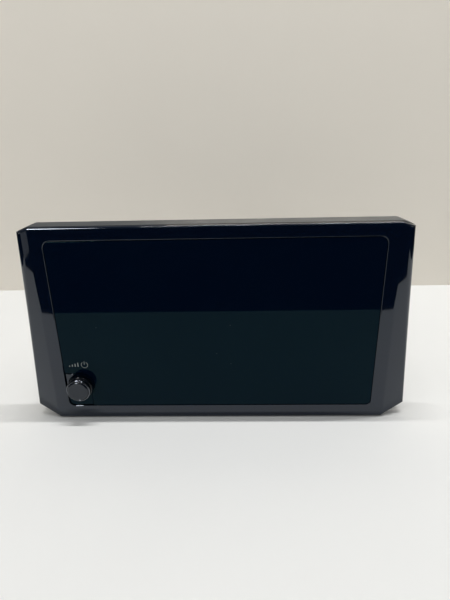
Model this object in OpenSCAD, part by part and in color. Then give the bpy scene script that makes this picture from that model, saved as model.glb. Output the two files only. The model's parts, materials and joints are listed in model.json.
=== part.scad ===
// Dashboard touchscreen: a thin pod with a faceted gloss bezel, a glass front and a push-turn
// volume knob in its lower left corner, carried by a folded steel receiver chassis.
// X runs to the viewer's right, +Y runs from the glass into the chassis, Z is up.
// The origin is at the bottom centre of the whole object.

/* [Pod] */
// Height of the pod
pod_h = 134; // [133.6:0.2:138]
// Width of the flat front between its two ridges
flat_w = 221; // [220:1:224]
// Width across the upper corners
pod_top_w = 238.8; // [236:0.2:242]
// Width across the lower corners
pod_bottom_w = 253.8; // [250:0.2:256]
// How far the outline falls from the flat top to the upper corners
top_drop = 3.1; // [2:0.1:5]
// How far the lower corners sit above the flat bottom
bottom_rise = 9; // [7:0.1:11]
// Depth lost per millimetre of width on the side facets
facet_slope = 0.333; // [0.25:0.01:0.4]
// Depth of the pod from the flat front to its back wall
pod_depth = 19; // [19:0.5:22]
// Thickness of the bezel and shell walls
wall = 2; // [1.6:0.1:2.2]

/* [Screen] */
// Width of the opening in the bezel
open_w = 206; // [204:1:207]
// Height of the opening in the bezel
open_h = 115.8; // [115:0.2:117]
// Height of the opening's lower edge above the table
open_z = 9.9; // [9.5:0.1:10.5]
// Corner radius of the opening
open_r = 4.5; // [3:0.5:6]
// Thickness of the cover glass
glass_t = 1.8; // [1.4:0.1:1.8]
// Gap between the glass and the bezel
glass_gap = 0.3; // [0.2:0.05:0.5]

/* [Knob] */
// Distance of the knob's axis from the pod's middle, to the left
knob_x = -92.4; // [-93:0.2:-91.8]
// Height of the knob's axis above the table
knob_z = 26.3; // [25.5:0.1:27]
// Radius of the knob's rim
knob_r = 8.3; // [7.8:0.1:8.6]
// How far the rim stands in front of the flat front
knob_out = 7.7; // [7.2:0.1:9]
// How far the face disc stands in front of the rim
face_proud = 0.6; // [0.3:0.1:0.8]
// Push travel of the knob
knob_travel = 0.5; // [0.3:0.1:0.6]

/* [Chassis] */
// Width of the chassis
chassis_w = 178; // [170:1:182]
// Height of the chassis
chassis_h = 104; // [100:1:106]
// Depth of the chassis behind the pod
chassis_d = 85; // [80:1:95]
// Sheet thickness of the chassis
sheet = 1; // [0.8:0.1:1.2]
// Depth of the heat sink behind the chassis
sink_d = 14; // [12:1:18]
// Hole radius in the dash brackets
bracket_hole_r = 3.3; // [2.6:0.1:3.6]
// Distance across the two dash brackets' holes
bracket_span_x = 204; // [202:1:206]
// Distance between the upper and lower bracket holes
bracket_span_z = 56; // [50:1:58]

/* [Hidden] */
$fn = 48;

// Running clearance between the shaft and what it turns in
run_fit = 0.06;
// Clearance between a screw's shank and its hole
screw_fit = 0.05;
// A cut that reaches past a face
over = 1;

// Depths behind the flat front
glass_y = 0.3;
glass_back = glass_y + glass_t;
touch_back = glass_back + 0.4;
cell_back = touch_back + 1.4;
film_back = cell_back + 0.6;
guide_back = film_back + 2.5;
reflector_back = guide_back + 0.3;
tray_back = reflector_back + 0.7;
plate_back = tray_back + 1.2;
board_y = plate_back + 1.8;
board_back = board_y + 1.6;
shell_inner_y = pod_depth - wall;
chassis_back = pod_depth + chassis_d;
rear_y = chassis_back + sink_d;
front_y = -(knob_out + face_proud);
// Distance of the flat front from the origin
face_y = -(rear_y + front_y) / 2;

// Bezel
flat = flat_w / 2;
seam_y = 4.5;
seam_gap = 0.5;
front_wall = 2.6;
lip_gap = 0.1;
lip_t = 1.2;
// The shell stands proud of the bezel at the sides, and its sides taper towards the back
shell_proud = 0.3;
// How much further than the bezel's the shell's flat top reaches to each side
shell_top_extra = 1.8;
// Gap under the bezel: the pod stands on its shell
sole_gap = 0.6;
shell_front = seam_y + seam_gap;
shell_wall = wall + 1;
shell_half = pod_bottom_w / 2 + shell_proud;
taper_y = shell_front + lost(shell_half) + 0.8;
back_half = 116;
// Beyond the widest corner
wide = shell_half + 4;

// Glass and screen stack
open_top = open_z + open_h;
glass_half = open_w / 2 - glass_gap;
glass_low = open_z + glass_gap;
glass_top = open_top - glass_gap;
collar_r = knob_r + 0.4;
notch_gap = 0.25;
active_left = -80;
active_right = 100;
cell_low = 15;
cell_top = 121;
// Lower and upper edges of the mid frame and of the plate behind it
frame_low = open_z - 0.9;
frame_top = open_top + 0.5;
frame_half = open_w / 2 + 1.5;
// The corner that the knob works take up
pocket_right = knob_x + 13;
pocket_top = knob_z + 21;
FLEX_X = [-30, 10];

// Knob works
shaft_r = 3;
shaft_flat = 2.4;
bushing_r = 3.6;
encoder_w = 12;
encoder_front = 3;
encoder_back = 9.5;
ring_t = 1.4;
cap_front = -(knob_out - ring_t);
cap_back = -0.9;

// The cap: a base band, then a slightly narrower waist that reaches forward to the ring
band_y = -4.2;
band_step = 0.5;
cap_wall = 1.6;
hub_r = shaft_r + 1.5;
shaft_front = -5.4;
flat_y = 3.9;
shaft_end = 7.6;
rotor_r = 5;
ROTOR_Y = [4.9, 6.6];
dome_t = 0.8;
KNOB_BOARD_Z = [12, 46];
knob_board_t = 1.2;
flex_t = 0.3;

// Screws join the shell to the bezel here: X and Z of each
shell_screw_x = 98;
shell_screw_top = pod_h - 5.6;
shell_screw_low = 5.8;
SHELL_SCREWS = [
    for (x = [-shell_screw_x, 0, shell_screw_x]) for (z = [shell_screw_low, shell_screw_top]) [x, z]
];
boss_r = 2;
boss_end = 9.3;
shell_boss_r = 3;
small_shank_r = 1.2;
// Holes that a small screw passes without thread
small_clear_r = 1.4;
// Counterbores in the shell's back for the heads of its screws
counterbore_r = 1.8;
counterbore_y = 12;
// Standoffs carry the chassis on the support plate: X and Z of each
standoff_x = 66;
standoff_r = 3.5;
standoff_bore = 1.5;
// Screws of 3 mm: shank and the holes that clear it
mid_shank_r = 1.45;
mid_clear_r = 1.7;
STANDOFFS = [for (x = [-standoff_x, standoff_x]) for (z = [30, 96]) [x, z]];
// Screws of the support plate into the mid frame, and of the knob board into its posts
PLATE_SCREWS = [[-92, 118], [-92, 64], [-20, 124.2], [80, 124.2], [80, 11.4], [-50, 11.4]];
KNOB_SCREWS = [[-100, 15.2], [-100, 43]];
// Corners of the display board
BOARD_X = [-50, 44];
BOARD_Z = [36, 98];
DISPLAY_POSTS = [for (x = [-46, 40]) for (z = [40, 94]) [x, z]];

// Chassis
chassis_half = chassis_w / 2;
main_board_z = 12;
main_board_t = 1.6;
main_top = main_board_z + main_board_t;
main_board_half = 84;
main_post_r = 3;
// Large parts on the main board
CHIP_X = [-6, 20];
CHIP_Y = [52, 78];
chip_t = 2;
chip_sink_edge = 3;
chip_sink_base = 2.5;
chip_sink_h = 12;
chip_fin_count = 7;
chip_fin_pitch = 5.1;
chip_fin_t = 1.4;
TUNER_X = [-72, -32];
TUNER_Y = [44, 78];
tuner_h = 8;
tuner_sheet = 0.4;
cap_count = 4;
cap_left = 36;
cap_pitch = 12;
cap_y = 62;
cap_r = 5;
cap_h = 16;
// Vent slots along the lower back of the chassis
vent_count = 12;
vent_left = -78;
vent_pitch = 7;
vent_w = 2.5;
VENT_Z = [50, 88];
// Two rows of slots in the cover
slot_count = 14;
slot_left = -72;
slot_pitch = 10.5;
slot_w = 2.5;
slot_len = 20;
slot_row_pitch = 32;
slot_first = pod_depth + 16;
cover_screw_z = chassis_h - 5;
cover_front = pod_depth + 0.2;
MAIN_POSTS = [for (x = [-78, 78]) for (y = [pod_depth + 10, chassis_back - 22]) [x, y]];
window_x = 30;
window_low = 56;
window_high = 70;
sink_left = 28;
sink_right = 84;
sink_low = 14;
sink_top = 92;
sink_base = 3;
fin_count = 9;
fin_t = 1.6;
pedestal_left = 38;
pedestal_right = 74;
pedestal_top = 42;
amp_t = 4.5;
amp_leg_count = 12;
amp_leg_pitch = 2.3;
amp_leg_w = 0.6;
power_left = -82;
power_right = -42;
power_top = 31;
power_out = 6;
power_depth = 14;
power_floor = 8;
power_wall = 1.5;
power_pin_count = 9;
power_pin_pitch = 4;
power_pin_half = 0.4;
antenna_pitch = 15;
ANTENNA_X = [for (i = [0:2]) -28 + i * antenna_pitch];
antenna_z = main_top + 8;
antenna_out = 9;
antenna_r = 5.4;
antenna_bore = 4;
antenna_floor = 6;
antenna_block = 5.5;
data_left = 10;
data_right = 24;
data_top = 25;
data_depth = 14;
data_floor = 9;
data_wall = 0.6;
// Gap between a socket and the edge of its cut-out in the back
cut_gap = 0.3;
cover_overlap = 10;
cover_gap = 0.1;
bracket_t = 1.5;
bracket_y = pod_depth + 14;
bracket_len = 52;
bracket_low = 20;
bracket_high = 92;
bracket_mid = (bracket_low + bracket_high) / 2;
bracket_ear = bracket_span_x / 2 + 7;
BRACKET_SCREWS = [for (y = [bracket_y + 16, bracket_y + 42]) for (z = [38, 80]) [y, z]];

// --- helpers -------------------------------------------------------------------------------

// Puts a part drawn from the flat front into the object's own frame
module placed() translate([0, face_y, 0]) children();

// A box from one corner to the other
module block(x, y, z) translate([x[0], y[0], z[0]]) cube([x[1] - x[0], y[1] - y[0], z[1] - z[0]]);

// A front-view outline, drawn as X and Z, from depth y0 to depth y1
module along_y(y0, y1) translate([0, y1, 0]) rotate([90, 0, 0]) linear_extrude(y1 - y0) children();

module rod_y(x, z, r, y0, y1) translate([x, y0, z]) rotate([-90, 0, 0]) cylinder(r = r, h = y1 - y0);

module rod_z(x, y, r, z0, z1) translate([x, y, z0]) cylinder(r = r, h = z1 - z0);

module rod_x(y, z, r, x0, x1) translate([x0, y, z]) rotate([0, 90, 0]) cylinder(r = r, h = x1 - x0);

// A rectangle with round corners, from its left, right, low and top edges
module round_rect(left, right, low, top, r) {
    translate([left + r, low]) square([right - left - 2 * r, top - low]);
    translate([left, low + r]) square([right - left, top - low - 2 * r]);
    for (x = [left + r, right - r]) for (z = [low + r, top - r]) translate([x, z]) circle(r);
}

// A pan-head screw along +Y: its head starts at y_head and its shank ends at y_tip
module screw_y(x, z, shank_r, head_r, head_t, y_head, y_tip) {
    rod_y(x, z, shank_r, min(y_tip, y_head), max(y_tip, y_head));
    out = y_head > y_tip ? head_t : -head_t;
    rod_y(x, z, head_r, min(y_head, y_head + out), max(y_head, y_head + out));
}

module screw_z(x, y, shank_r, head_r, head_t, z_head, z_tip) {
    rod_z(x, y, shank_r, z_tip, z_head);
    rod_z(x, y, head_r, z_head, z_head + head_t);
}

// Front view of the pod: its edges pulled in by inset, its sides then pushed out by proud
module pod_outline(inset, proud = 0) {
    low_half = flat + 1 - 0.4 * inset;
    top_half = flat - 0.2 * inset + (proud > 0 ? shell_top_extra : 0);
    corner_low = pod_bottom_w / 2 - inset + proud;
    corner_top = pod_top_w / 2 - inset + proud;
    low_z = bottom_rise + 0.4 * inset;
    top_z = pod_h - top_drop - 0.8 * inset;
    polygon([
        [-low_half, inset], [low_half, inset], [corner_low, low_z], [corner_top, top_z],
        [top_half, pod_h - inset], [-top_half, pod_h - inset], [-corner_top, top_z], [-corner_low, low_z]
    ]);
}

// Depth that the side facets have lost at a distance x from the middle
function lost(x) = max(0, abs(x) - flat) * facet_slope;

// Plan view of a layer that follows the faceted front, from depth y0 to depth y1
module facet_plan(y0, y1) {
    polygon([
        [-wide, y0 + lost(wide)], [-flat, y0], [flat, y0], [wide, y0 + lost(wide)],
        [wide, y1 + lost(wide)], [flat, y1], [-flat, y1], [-wide, y1 + lost(wide)]
    ]);
}

// Plan view of the shell: a faceted front at y0 and tapered sides up to a flat back at y1
module shell_plan(y0, y1, inset) {
    side = shell_half - inset;
    back = back_half - inset;
    polygon([
        [-side, y0 + lost(side)], [-flat, y0], [flat, y0], [side, y0 + lost(side)],
        [side, taper_y], [back, y1], [-back, y1], [-side, taper_y]
    ]);
}

module facet_layer(y0, y1, inset) intersection() {
    along_y(-over, pod_depth + over) pod_outline(inset);
    linear_extrude(pod_h + over) facet_plan(y0, y1);
}

module shell_layer(y0, y1, inset) intersection() {
    along_y(-over, pod_depth + over) pod_outline(inset, shell_proud);
    linear_extrude(pod_h + over) shell_plan(y0, y1, inset);
}

// Outline of the collar: a square corner piece whose right side runs round the knob
module collar_outline(grow) {
    left = -open_w / 2 + 1 - grow;
    low = open_z + 1 - grow;
    r = collar_r + grow;
    corner = open_r - 1 + grow;
    translate([left + corner, low]) square([knob_x - left - corner, knob_z + r - low]);
    translate([left, low + corner]) square([knob_x - left, knob_z + r - low - corner]);
    translate([left + corner, low + corner]) circle(corner);
    translate([knob_x - over, low]) square([r * cos(45) + over, knob_z - low]);
    translate([knob_x, knob_z]) circle(r);
}

module opening(grow) round_rect(-open_w / 2 - grow, open_w / 2 + grow, open_z - grow, open_top + grow, open_r + grow);

// --- front of the pod ----------------------------------------------------------------------

module front_bezel() color("#0b0c0e") placed() {
    difference() {
        facet_layer(0, seam_y, 0);
        block([-wide, wide], [-over, seam_y + over], [-over, sole_gap]);
        along_y(-over, seam_y + over) opening(0);
        facet_layer(front_wall, seam_y + over, wall);
    }
    difference() {
        for (p = SHELL_SCREWS) rod_y(p[0], p[1], boss_r, front_wall, boss_end);
        for (p = SHELL_SCREWS) rod_y(p[0], p[1], small_shank_r + screw_fit, front_wall + 1, boss_end + over);
    }
}

module cover_glass() color("#05080b") placed() along_y(glass_y, glass_back) difference() {
    opening(-glass_gap);
    collar_outline(notch_gap);
    translate([-open_w / 2, open_z]) square([collar_r, collar_r]);
}

module glass_tape() color("#202020") placed() along_y(glass_back, front_wall) difference() {
    opening(-0.8);
    round_rect(active_left - 1, active_right + 1, cell_low - 2, cell_top + 2, 1);
    translate([-open_w / 2, open_z]) square([knob_x + collar_r + 3 + open_w / 2, knob_z + collar_r + 3 - open_z]);
}

module touch_sensor() color("#20303a") placed() {
    block([active_left, active_right], [glass_back, touch_back], [cell_low - 1, cell_top + 1]);
}

module lcd_cell() color("#11181d") placed() {
    block([active_left, active_right], [touch_back, cell_back], [cell_low, cell_top]);
}

module optical_films() color("#e8ecef") placed() {
    block([active_left + 1, active_right - 1], [cell_back, film_back], [cell_low + 1, cell_top - 1]);
}

module light_guide() color("#dfe7ea") placed() {
    block([active_left + 1, active_right - 1], [film_back, guide_back], [cell_low + 4.5, cell_top - 1]);
}

module reflector_sheet() color("#f4f4f2") placed() {
    block([active_left + 1, active_right - 1], [guide_back, reflector_back], [cell_low + 1, cell_top - 1]);
}

module led_bar() color("#d9c27a") placed() {
    led_count = 20;
    led_pitch = (active_right - active_left - 20) / (led_count - 1);
    block([active_left + 3, active_right - 3], [film_back + 0.2, guide_back - 0.2], [cell_low + 1.2, cell_low + 2.2]);
    for (i = [0:led_count - 1]) {
        x = active_left + 10 + i * led_pitch;
        block([x - 1.5, x + 1.5], [film_back + 0.6, guide_back - 0.6], [cell_low + 2.2, cell_low + 4.3]);
    }
}

module backlight_tray() color("#b9bec2") placed() difference() {
    block([active_left - 1, active_right + 1], [cell_back, tray_back], [cell_low - 1, cell_top + 1]);
    block([active_left + 0.5, active_right - 0.5], [cell_back - over, reflector_back], [cell_low + 0.5, cell_top - 0.5]);
}

module mid_frame() color("#1d1f22") placed() difference() {
    union() {
        difference() {
            along_y(front_wall, tray_back) round_rect(-frame_half, frame_half, frame_low, frame_top, 4);
            block([2 - frame_half, pocket_right], [0, pod_depth], [frame_low + 4.8, pocket_top]);
        }
        for (p = KNOB_SCREWS) block([1.9 - frame_half, 6.8 - frame_half], [encoder_front, encoder_back], [p[1] - 2.3, p[1] + 2.3]);
    }
    block([active_left - 1.2, active_right + 1.2], [0, pod_depth], [cell_low - 1.2, cell_top + 1.2]);
    block([-wide, pocket_right], [0, encoder_front], [0, pocket_top]);
    block([FLEX_X[0] - 1, FLEX_X[1] + 1], [0, pod_depth], [cell_low - 2.2, cell_low]);
    for (p = PLATE_SCREWS) rod_y(p[0], p[1], small_shank_r + screw_fit, front_wall + 1.4, pod_depth);
    for (p = KNOB_SCREWS) rod_y(p[0], p[1], small_shank_r + screw_fit, encoder_front + 1, pod_depth);
}

module support_plate() color("#a9adb0") placed() difference() {
    union() {
        block([-open_w / 2, open_w / 2], [tray_back, plate_back], [frame_low + 0.4, frame_top - 0.2]);
        for (p = DISPLAY_POSTS) rod_y(p[0], p[1], 2.6, plate_back, board_y);
    }
    block([-wide, pocket_right], [0, pod_depth], [0, pocket_top]);
    block([FLEX_X[0] - 1, FLEX_X[1] + 1], [0, pod_depth], [0, cell_low - 1]);
    for (p = PLATE_SCREWS) rod_y(p[0], p[1], small_clear_r, 0, pod_depth);
    for (p = DISPLAY_POSTS) rod_y(p[0], p[1], small_shank_r + screw_fit, 0, pod_depth);
}

module plate_screws() color("#c9ccd0") placed() {
    for (p = PLATE_SCREWS) screw_y(p[0], p[1], small_shank_r, 1.8, 1.2, plate_back, front_wall + 1.6);
}

// --- knob ----------------------------------------------------------------------------------

module knob_collar() color("#0d0e10") placed() difference() {
    union() {
        along_y(0.1, encoder_front) collar_outline(0);
        block([-101.6, knob_x + 8], [2.6, encoder_front], [11.4, knob_z + 9]);
    }
    rod_y(knob_x, knob_z, bushing_r + 0.1, -over, encoder_front + over);
}

// The knob's side: two bands with a narrower waist between them, hollow behind
module knob_cap() color("#15171a") placed() difference() {
    union() {
        rod_y(knob_x, knob_z, knob_r, band_y, cap_back);
        rod_y(knob_x, knob_z, knob_r - band_step, cap_front, band_y);
    }
    difference() {
        rod_y(knob_x, knob_z, knob_r - cap_wall, band_y - 0.2, cap_back + over);
        rod_y(knob_x, knob_z, hub_r, band_y - over, 2 * cap_back);
    }
    rod_y(knob_x, knob_z, shaft_r, shaft_front, cap_back + over);
}

module knob_ring() color("#8f9498") placed() difference() {
    rod_y(knob_x, knob_z, knob_r, -knob_out, cap_front);
    rod_y(knob_x, knob_z, knob_r - 1.3, -knob_out - over, cap_front + over);
}

module knob_face() color("#3b3e41") placed() {
    rod_y(knob_x, knob_z, knob_r - 1.4, -knob_out - face_proud, cap_front);
}

// A round bar with one flat side, along Y
module flat_sided(r, cut, y0, y1) difference() {
    rod_y(knob_x, knob_z, r, y0, y1);
    block([knob_x - 2 * r, knob_x + 2 * r], [y0 - over, y1 + over], [knob_z + cut, knob_z + 2 * r]);
}

module encoder_shaft() color("#c7cacd") placed() {
    rod_y(knob_x, knob_z, shaft_r, shaft_front, flat_y);
    flat_sided(shaft_r, shaft_flat, flat_y, shaft_end);
}

module encoder_rotor() color("#e2ddd0") placed() difference() {
    rod_y(knob_x, knob_z, rotor_r, ROTOR_Y[0], ROTOR_Y[1]);
    flat_sided(shaft_r + run_fit, shaft_flat + run_fit, ROTOR_Y[0] - over, ROTOR_Y[1] + over);
}

module encoder_frame() color("#bfc3c7") placed() difference() {
    union() {
        rod_y(knob_x, knob_z, bushing_r, -0.2, encoder_front);
        block(
            [knob_x - encoder_w / 2, knob_x + encoder_w / 2], [encoder_front, encoder_front + 0.8],
            [knob_z - encoder_w / 2, knob_z + encoder_w / 2]
        );
    }
    rod_y(knob_x, knob_z, shaft_r + run_fit, -over, encoder_front + over);
}

module encoder_body() color("#1b1c1e") placed() difference() {
    block(
        [knob_x - encoder_w / 2, knob_x + encoder_w / 2], [encoder_front + 0.8, encoder_back],
        [knob_z - encoder_w / 2, knob_z + encoder_w / 2]
    );
    rod_y(knob_x, knob_z, rotor_r + 0.3, encoder_front, encoder_back - dome_t);
}

// A shallow snap dome that the shaft's end pushes on
module switch_dome() color("#d5d8da") placed() translate([knob_x, encoder_back - dome_t, knob_z])
    rotate([90, 0, 0]) rotate_extrude() polygon([[0, 0], [2.6, 0], [2.6, 0.15], [1.2, 0.45], [0, 0.5]]);

module knob_board() color("#1f6b45") placed() difference() {
    block([-open_w / 2, knob_x + 12], [encoder_back, encoder_back + knob_board_t], KNOB_BOARD_Z);
    for (p = KNOB_SCREWS) rod_y(p[0], p[1], small_clear_r, 0, pod_depth);
}

module knob_board_screws() color("#c9ccd0") placed() {
    for (p = KNOB_SCREWS) screw_y(p[0], p[1], small_shank_r, 2, 1, encoder_back + knob_board_t, encoder_front + 1.2);
}

// --- electronics in the pod ----------------------------------------------------------------

module display_board() color("#1c6040") placed() difference() {
    block(BOARD_X, [board_y, board_back], BOARD_Z);
    for (p = DISPLAY_POSTS) rod_y(p[0], p[1], small_clear_r, 0, pod_depth);
}

module display_board_screws() color("#c9ccd0") placed() {
    for (p = DISPLAY_POSTS) screw_y(p[0], p[1], small_shank_r, 2.2, 1.2, board_back, tray_back + 0.2);
}

module display_driver() color("#17181a") placed() {
    block([-8, 6], [board_back, board_back + 1.4], [76, 90]);
    block([-34, -26], [board_back, board_back + 1.2], [66, 82]);
    block([20, 28], [board_back, board_back + 2.6], [70, 78]);
}

// A ribbon's side view, drawn as Y and Z, stretched from x0 to x1
module along_x(x0, x1) translate([x0, 0, 0]) rotate([90, 0, 90]) linear_extrude(x1 - x0) children();

// Folds from the cell's lower edge, under the tray, up to the front of the display board
module lcd_flex() color("#b5712c") placed() along_x(FLEX_X[0], FLEX_X[1]) {
    t = flex_t;
    y0 = touch_back + flex_t;
    y1 = plate_back + 0.4;
    low = cell_low - 1.8;
    polygon([
        [y0, cell_low], [y0, low], [y1 + t, low], [y1 + t, 30], [board_y, 38], [board_y, 42],
        [board_y - t, 42], [board_y - t, 38.1], [y1, 30.1], [y1, low + t], [y0 + t, low + t], [y0 + t, cell_low]
    ]);
}

module knob_flex() color("#c07a30") placed() {
    depth = [encoder_back + knob_board_t, encoder_back + knob_board_t + flex_t];
    block([knob_x + 4, knob_x + 10], depth, [40, 52]);
    block([knob_x + 4, BOARD_X[0] + 3], depth, [52, 58]);
}

module rear_shell() color("#2b2c2e") placed() difference() {
    union() {
        difference() {
            shell_layer(shell_front, pod_depth, 0);
            shell_layer(shell_front - over, shell_inner_y, shell_wall);
        }
        // The lip that reaches into the bezel's skirt
        difference() {
            facet_layer(front_wall + lip_gap, shell_front + over, wall + lip_gap);
            facet_layer(front_wall - over, shell_front + 2 * over, wall + lip_gap + lip_t);
        }
        for (p = SHELL_SCREWS) rod_y(p[0], p[1], shell_boss_r, boss_end + 0.1, shell_inner_y + over);
    }
    for (p = SHELL_SCREWS) {
        rod_y(p[0], p[1], small_shank_r + screw_fit, 0, pod_depth);
        rod_y(p[0], p[1], counterbore_r, counterbore_y, pod_depth + over);
    }
    block([-window_x, window_x], [shell_inner_y - over, pod_depth + over], [window_low, window_high]);
    for (p = STANDOFFS) rod_y(p[0], p[1], mid_clear_r, shell_inner_y - over, pod_depth + over);
}

module shell_screws() color("#3a3b3d") placed() {
    for (p = SHELL_SCREWS) screw_y(
        p[0], p[1], small_shank_r, counterbore_r - 0.1, 1.4, counterbore_y, front_wall + 1.6
    );
}

module standoffs() color("#c8b26a") placed() difference() {
    for (p = STANDOFFS) rod_y(p[0], p[1], standoff_r, plate_back, shell_inner_y);
    for (p = STANDOFFS) rod_y(p[0], p[1], standoff_bore, plate_back + 1, shell_inner_y + over);
}

module chassis_screws() color("#c9ccd0") placed() {
    for (p = STANDOFFS) screw_y(p[0], p[1], mid_shank_r, 2.8, 1.8, pod_depth + sheet, plate_back + 1.4);
}

// --- chassis -------------------------------------------------------------------------------

module chassis_tray() color("#b4b8bb") placed() difference() {
    union() {
        difference() {
            block([-chassis_half, chassis_half], [pod_depth, chassis_back], [0, chassis_h - sheet]);
            block(
                [-chassis_half + sheet, chassis_half - sheet], [pod_depth + sheet, chassis_back - sheet],
                [sheet, chassis_h]
            );
        }
        for (p = MAIN_POSTS) rod_z(p[0], p[1], main_post_r, 0, main_board_z);
    }
    for (p = MAIN_POSTS) rod_z(p[0], p[1], mid_shank_r + screw_fit, 4, main_board_z + over);
    block([-window_x, window_x], [pod_depth - over, pod_depth + sheet + over], [window_low, window_high]);
    for (p = STANDOFFS) rod_y(p[0], p[1], mid_clear_r, pod_depth - over, pod_depth + sheet + over);
    back_cut = [chassis_back - sheet - over, chassis_back + over];
    block([pedestal_left - 0.5, pedestal_right + 0.5], back_cut, [sink_low + 3, pedestal_top + 0.5]);
    block([power_left - cut_gap, power_right + cut_gap], back_cut, [main_top - 0.2, power_top + cut_gap]);
    block([data_left - cut_gap, data_right + cut_gap], back_cut, [main_top - 0.2, data_top + cut_gap]);
    for (x = ANTENNA_X) rod_y(x, antenna_z, antenna_r + 0.4, back_cut[0], back_cut[1]);
    for (p = sink_holes()) rod_y(p[0], p[1], 1.55, back_cut[0], back_cut[1]);
    for (p = BRACKET_SCREWS) rod_x(p[0], p[1], 1.65, -chassis_half - over, chassis_half + over);
    for (y = cover_screw_y()) rod_x(y, cover_screw_z, 1.3, -chassis_half - over, chassis_half + over);
    for (i = [0:vent_count - 1]) {
        x = vent_left + i * vent_pitch;
        block([x, x + vent_w], back_cut, VENT_Z);
    }
}

function sink_holes() = [for (x = [sink_left + 4, sink_right - 4]) for (z = [sink_low + 3.5, sink_top - 4]) [x, z]];

function cover_screw_y() = [pod_depth + 12, chassis_back - 12];

module chassis_cover() color("#bcc0c3") placed() difference() {
    side = chassis_half + cover_gap;
    union() {
        block([-side - sheet, side + sheet], [cover_front, chassis_back], [chassis_h - sheet, chassis_h]);
        for (x = [-side - sheet, side]) block(
            [x, x + sheet], [cover_front, chassis_back], [chassis_h - cover_overlap, chassis_h]
        );
    }
    for (row = [0:1]) for (i = [0:slot_count - 1]) {
        x = slot_left + i * slot_pitch;
        y = slot_first + row * slot_row_pitch;
        block([x, x + slot_w], [y, y + slot_len], [chassis_h - 2 * sheet, chassis_h + over]);
    }
    for (y = cover_screw_y()) rod_x(y, cover_screw_z, mid_clear_r, -side - 2 * sheet, side + 2 * sheet);
}

module cover_screws() color("#d0d3d6") placed() {
    side = chassis_half + cover_gap + sheet;
    for (y = cover_screw_y()) for (s = [-1, 1]) {
        rod_x(y, cover_screw_z, 2.6, s > 0 ? side : -side - 1.4, s > 0 ? side + 1.4 : -side);
        rod_x(y, cover_screw_z, 1.25, s > 0 ? chassis_half - 4 : -side, s > 0 ? side : 4 - chassis_half);
    }
}

module main_board() color("#19593a") placed() difference() {
    block([-main_board_half, main_board_half], [pod_depth + 4, chassis_back - sheet - 0.5], [main_board_z, main_top]);
    for (p = MAIN_POSTS) rod_z(p[0], p[1], mid_clear_r, 0, chassis_h);
}

module board_screws() color("#c9ccd0") placed() {
    for (p = MAIN_POSTS) screw_z(p[0], p[1], mid_shank_r, 2.8, 1.6, main_top, 5);
}

module system_chip() color("#17181a") placed() block(CHIP_X, CHIP_Y, [main_top, main_top + chip_t]);

module chip_heat_sink() color("#9ba0a4") placed() {
    left = CHIP_X[0] - chip_sink_edge;
    depth = [CHIP_Y[0] - chip_sink_edge, CHIP_Y[1] + chip_sink_edge];
    low = main_top + chip_t;
    block([left, CHIP_X[1] + chip_sink_edge], depth, [low, low + chip_sink_base]);
    for (i = [0:chip_fin_count - 1]) {
        x = left + i * chip_fin_pitch;
        block([x, x + chip_fin_t], depth, [low + chip_sink_base, low + chip_sink_h]);
    }
}

module tuner_shield() color("#cdd0d2") placed() difference() {
    block(TUNER_X, TUNER_Y, [main_top, main_top + tuner_h]);
    block(
        [TUNER_X[0] + tuner_sheet, TUNER_X[1] - tuner_sheet], [TUNER_Y[0] + tuner_sheet, TUNER_Y[1] - tuner_sheet],
        [main_top - over, main_top + tuner_h - tuner_sheet]
    );
}

module capacitors() color("#26303c") placed() {
    for (i = [0:cap_count - 1]) rod_z(cap_left + i * cap_pitch, cap_y, cap_r, main_top, main_top + cap_h);
}

module amplifier_chip() color("#141517") placed() {
    y1 = chassis_back - sheet - 2;
    block([pedestal_left + 2, pedestal_right - 2], [y1 - amp_t, y1], [main_top + 2.5, pedestal_top - 2]);
    leg_y = y1 - amp_t + 1.5;
    for (i = [0:amp_leg_count - 1]) {
        x = pedestal_left + 5 + i * amp_leg_pitch;
        block([x, x + amp_leg_w], [leg_y, leg_y + amp_leg_w], [main_top, main_top + 2.5]);
    }
}

module heat_sink() color("#2c2d2f") placed() difference() {
    union() {
        block([sink_left, sink_right], [chassis_back, chassis_back + sink_base], [sink_low, sink_top]);
        pitch = (sink_right - sink_left - 20 - fin_t) / (fin_count - 1);
        for (i = [0:fin_count - 1]) block(
            [sink_left + 10 + i * pitch, sink_left + 10 + fin_t + i * pitch],
            [chassis_back + sink_base, rear_y], [sink_low, sink_top]
        );
        block(
            [pedestal_left, pedestal_right], [chassis_back - sheet - 2, chassis_back],
            [sink_low + 3.5, pedestal_top]
        );
    }
    for (p = sink_holes()) rod_y(p[0], p[1], mid_clear_r, chassis_back - over, rear_y);
}

module sink_screws() color("#d0d3d6") placed() {
    for (p = sink_holes()) screw_y(p[0], p[1], 1.5, 2.6, 1.6, chassis_back + sink_base, chassis_back - 4);
}

module power_connector() color("#d8d9d6") placed() difference() {
    block([power_left, power_right], [chassis_back - power_depth, chassis_back + power_out], [main_top, power_top]);
    block(
        [power_left + power_wall, power_right - power_wall],
        [chassis_back - power_floor, chassis_back + power_out + over],
        [main_top + power_wall, power_top - power_wall]
    );
}

module power_pins() color("#c9a94f") placed() {
    half = power_pin_half;
    for (i = [0:power_pin_count - 1]) for (z = [main_top + 4.5, main_top + 8]) {
        x = power_left + power_pin_pitch * (i + 1);
        block([x - half, x + half], [chassis_back - power_floor, chassis_back - 3], [z - half, z + half]);
    }
}

module antenna_sockets() color("#6f7478") placed() {
    for (x = ANTENNA_X) difference() {
        union() {
            block(
                [x - antenna_block, x + antenna_block], [chassis_back - 13, chassis_back - sheet - 0.2],
                [main_top, antenna_z + antenna_block]
            );
            rod_y(x, antenna_z, antenna_r, chassis_back - sheet - 0.2, chassis_back + antenna_out);
        }
        rod_y(x, antenna_z, antenna_bore, chassis_back - antenna_floor, chassis_back + antenna_out + over);
    }
}

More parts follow.
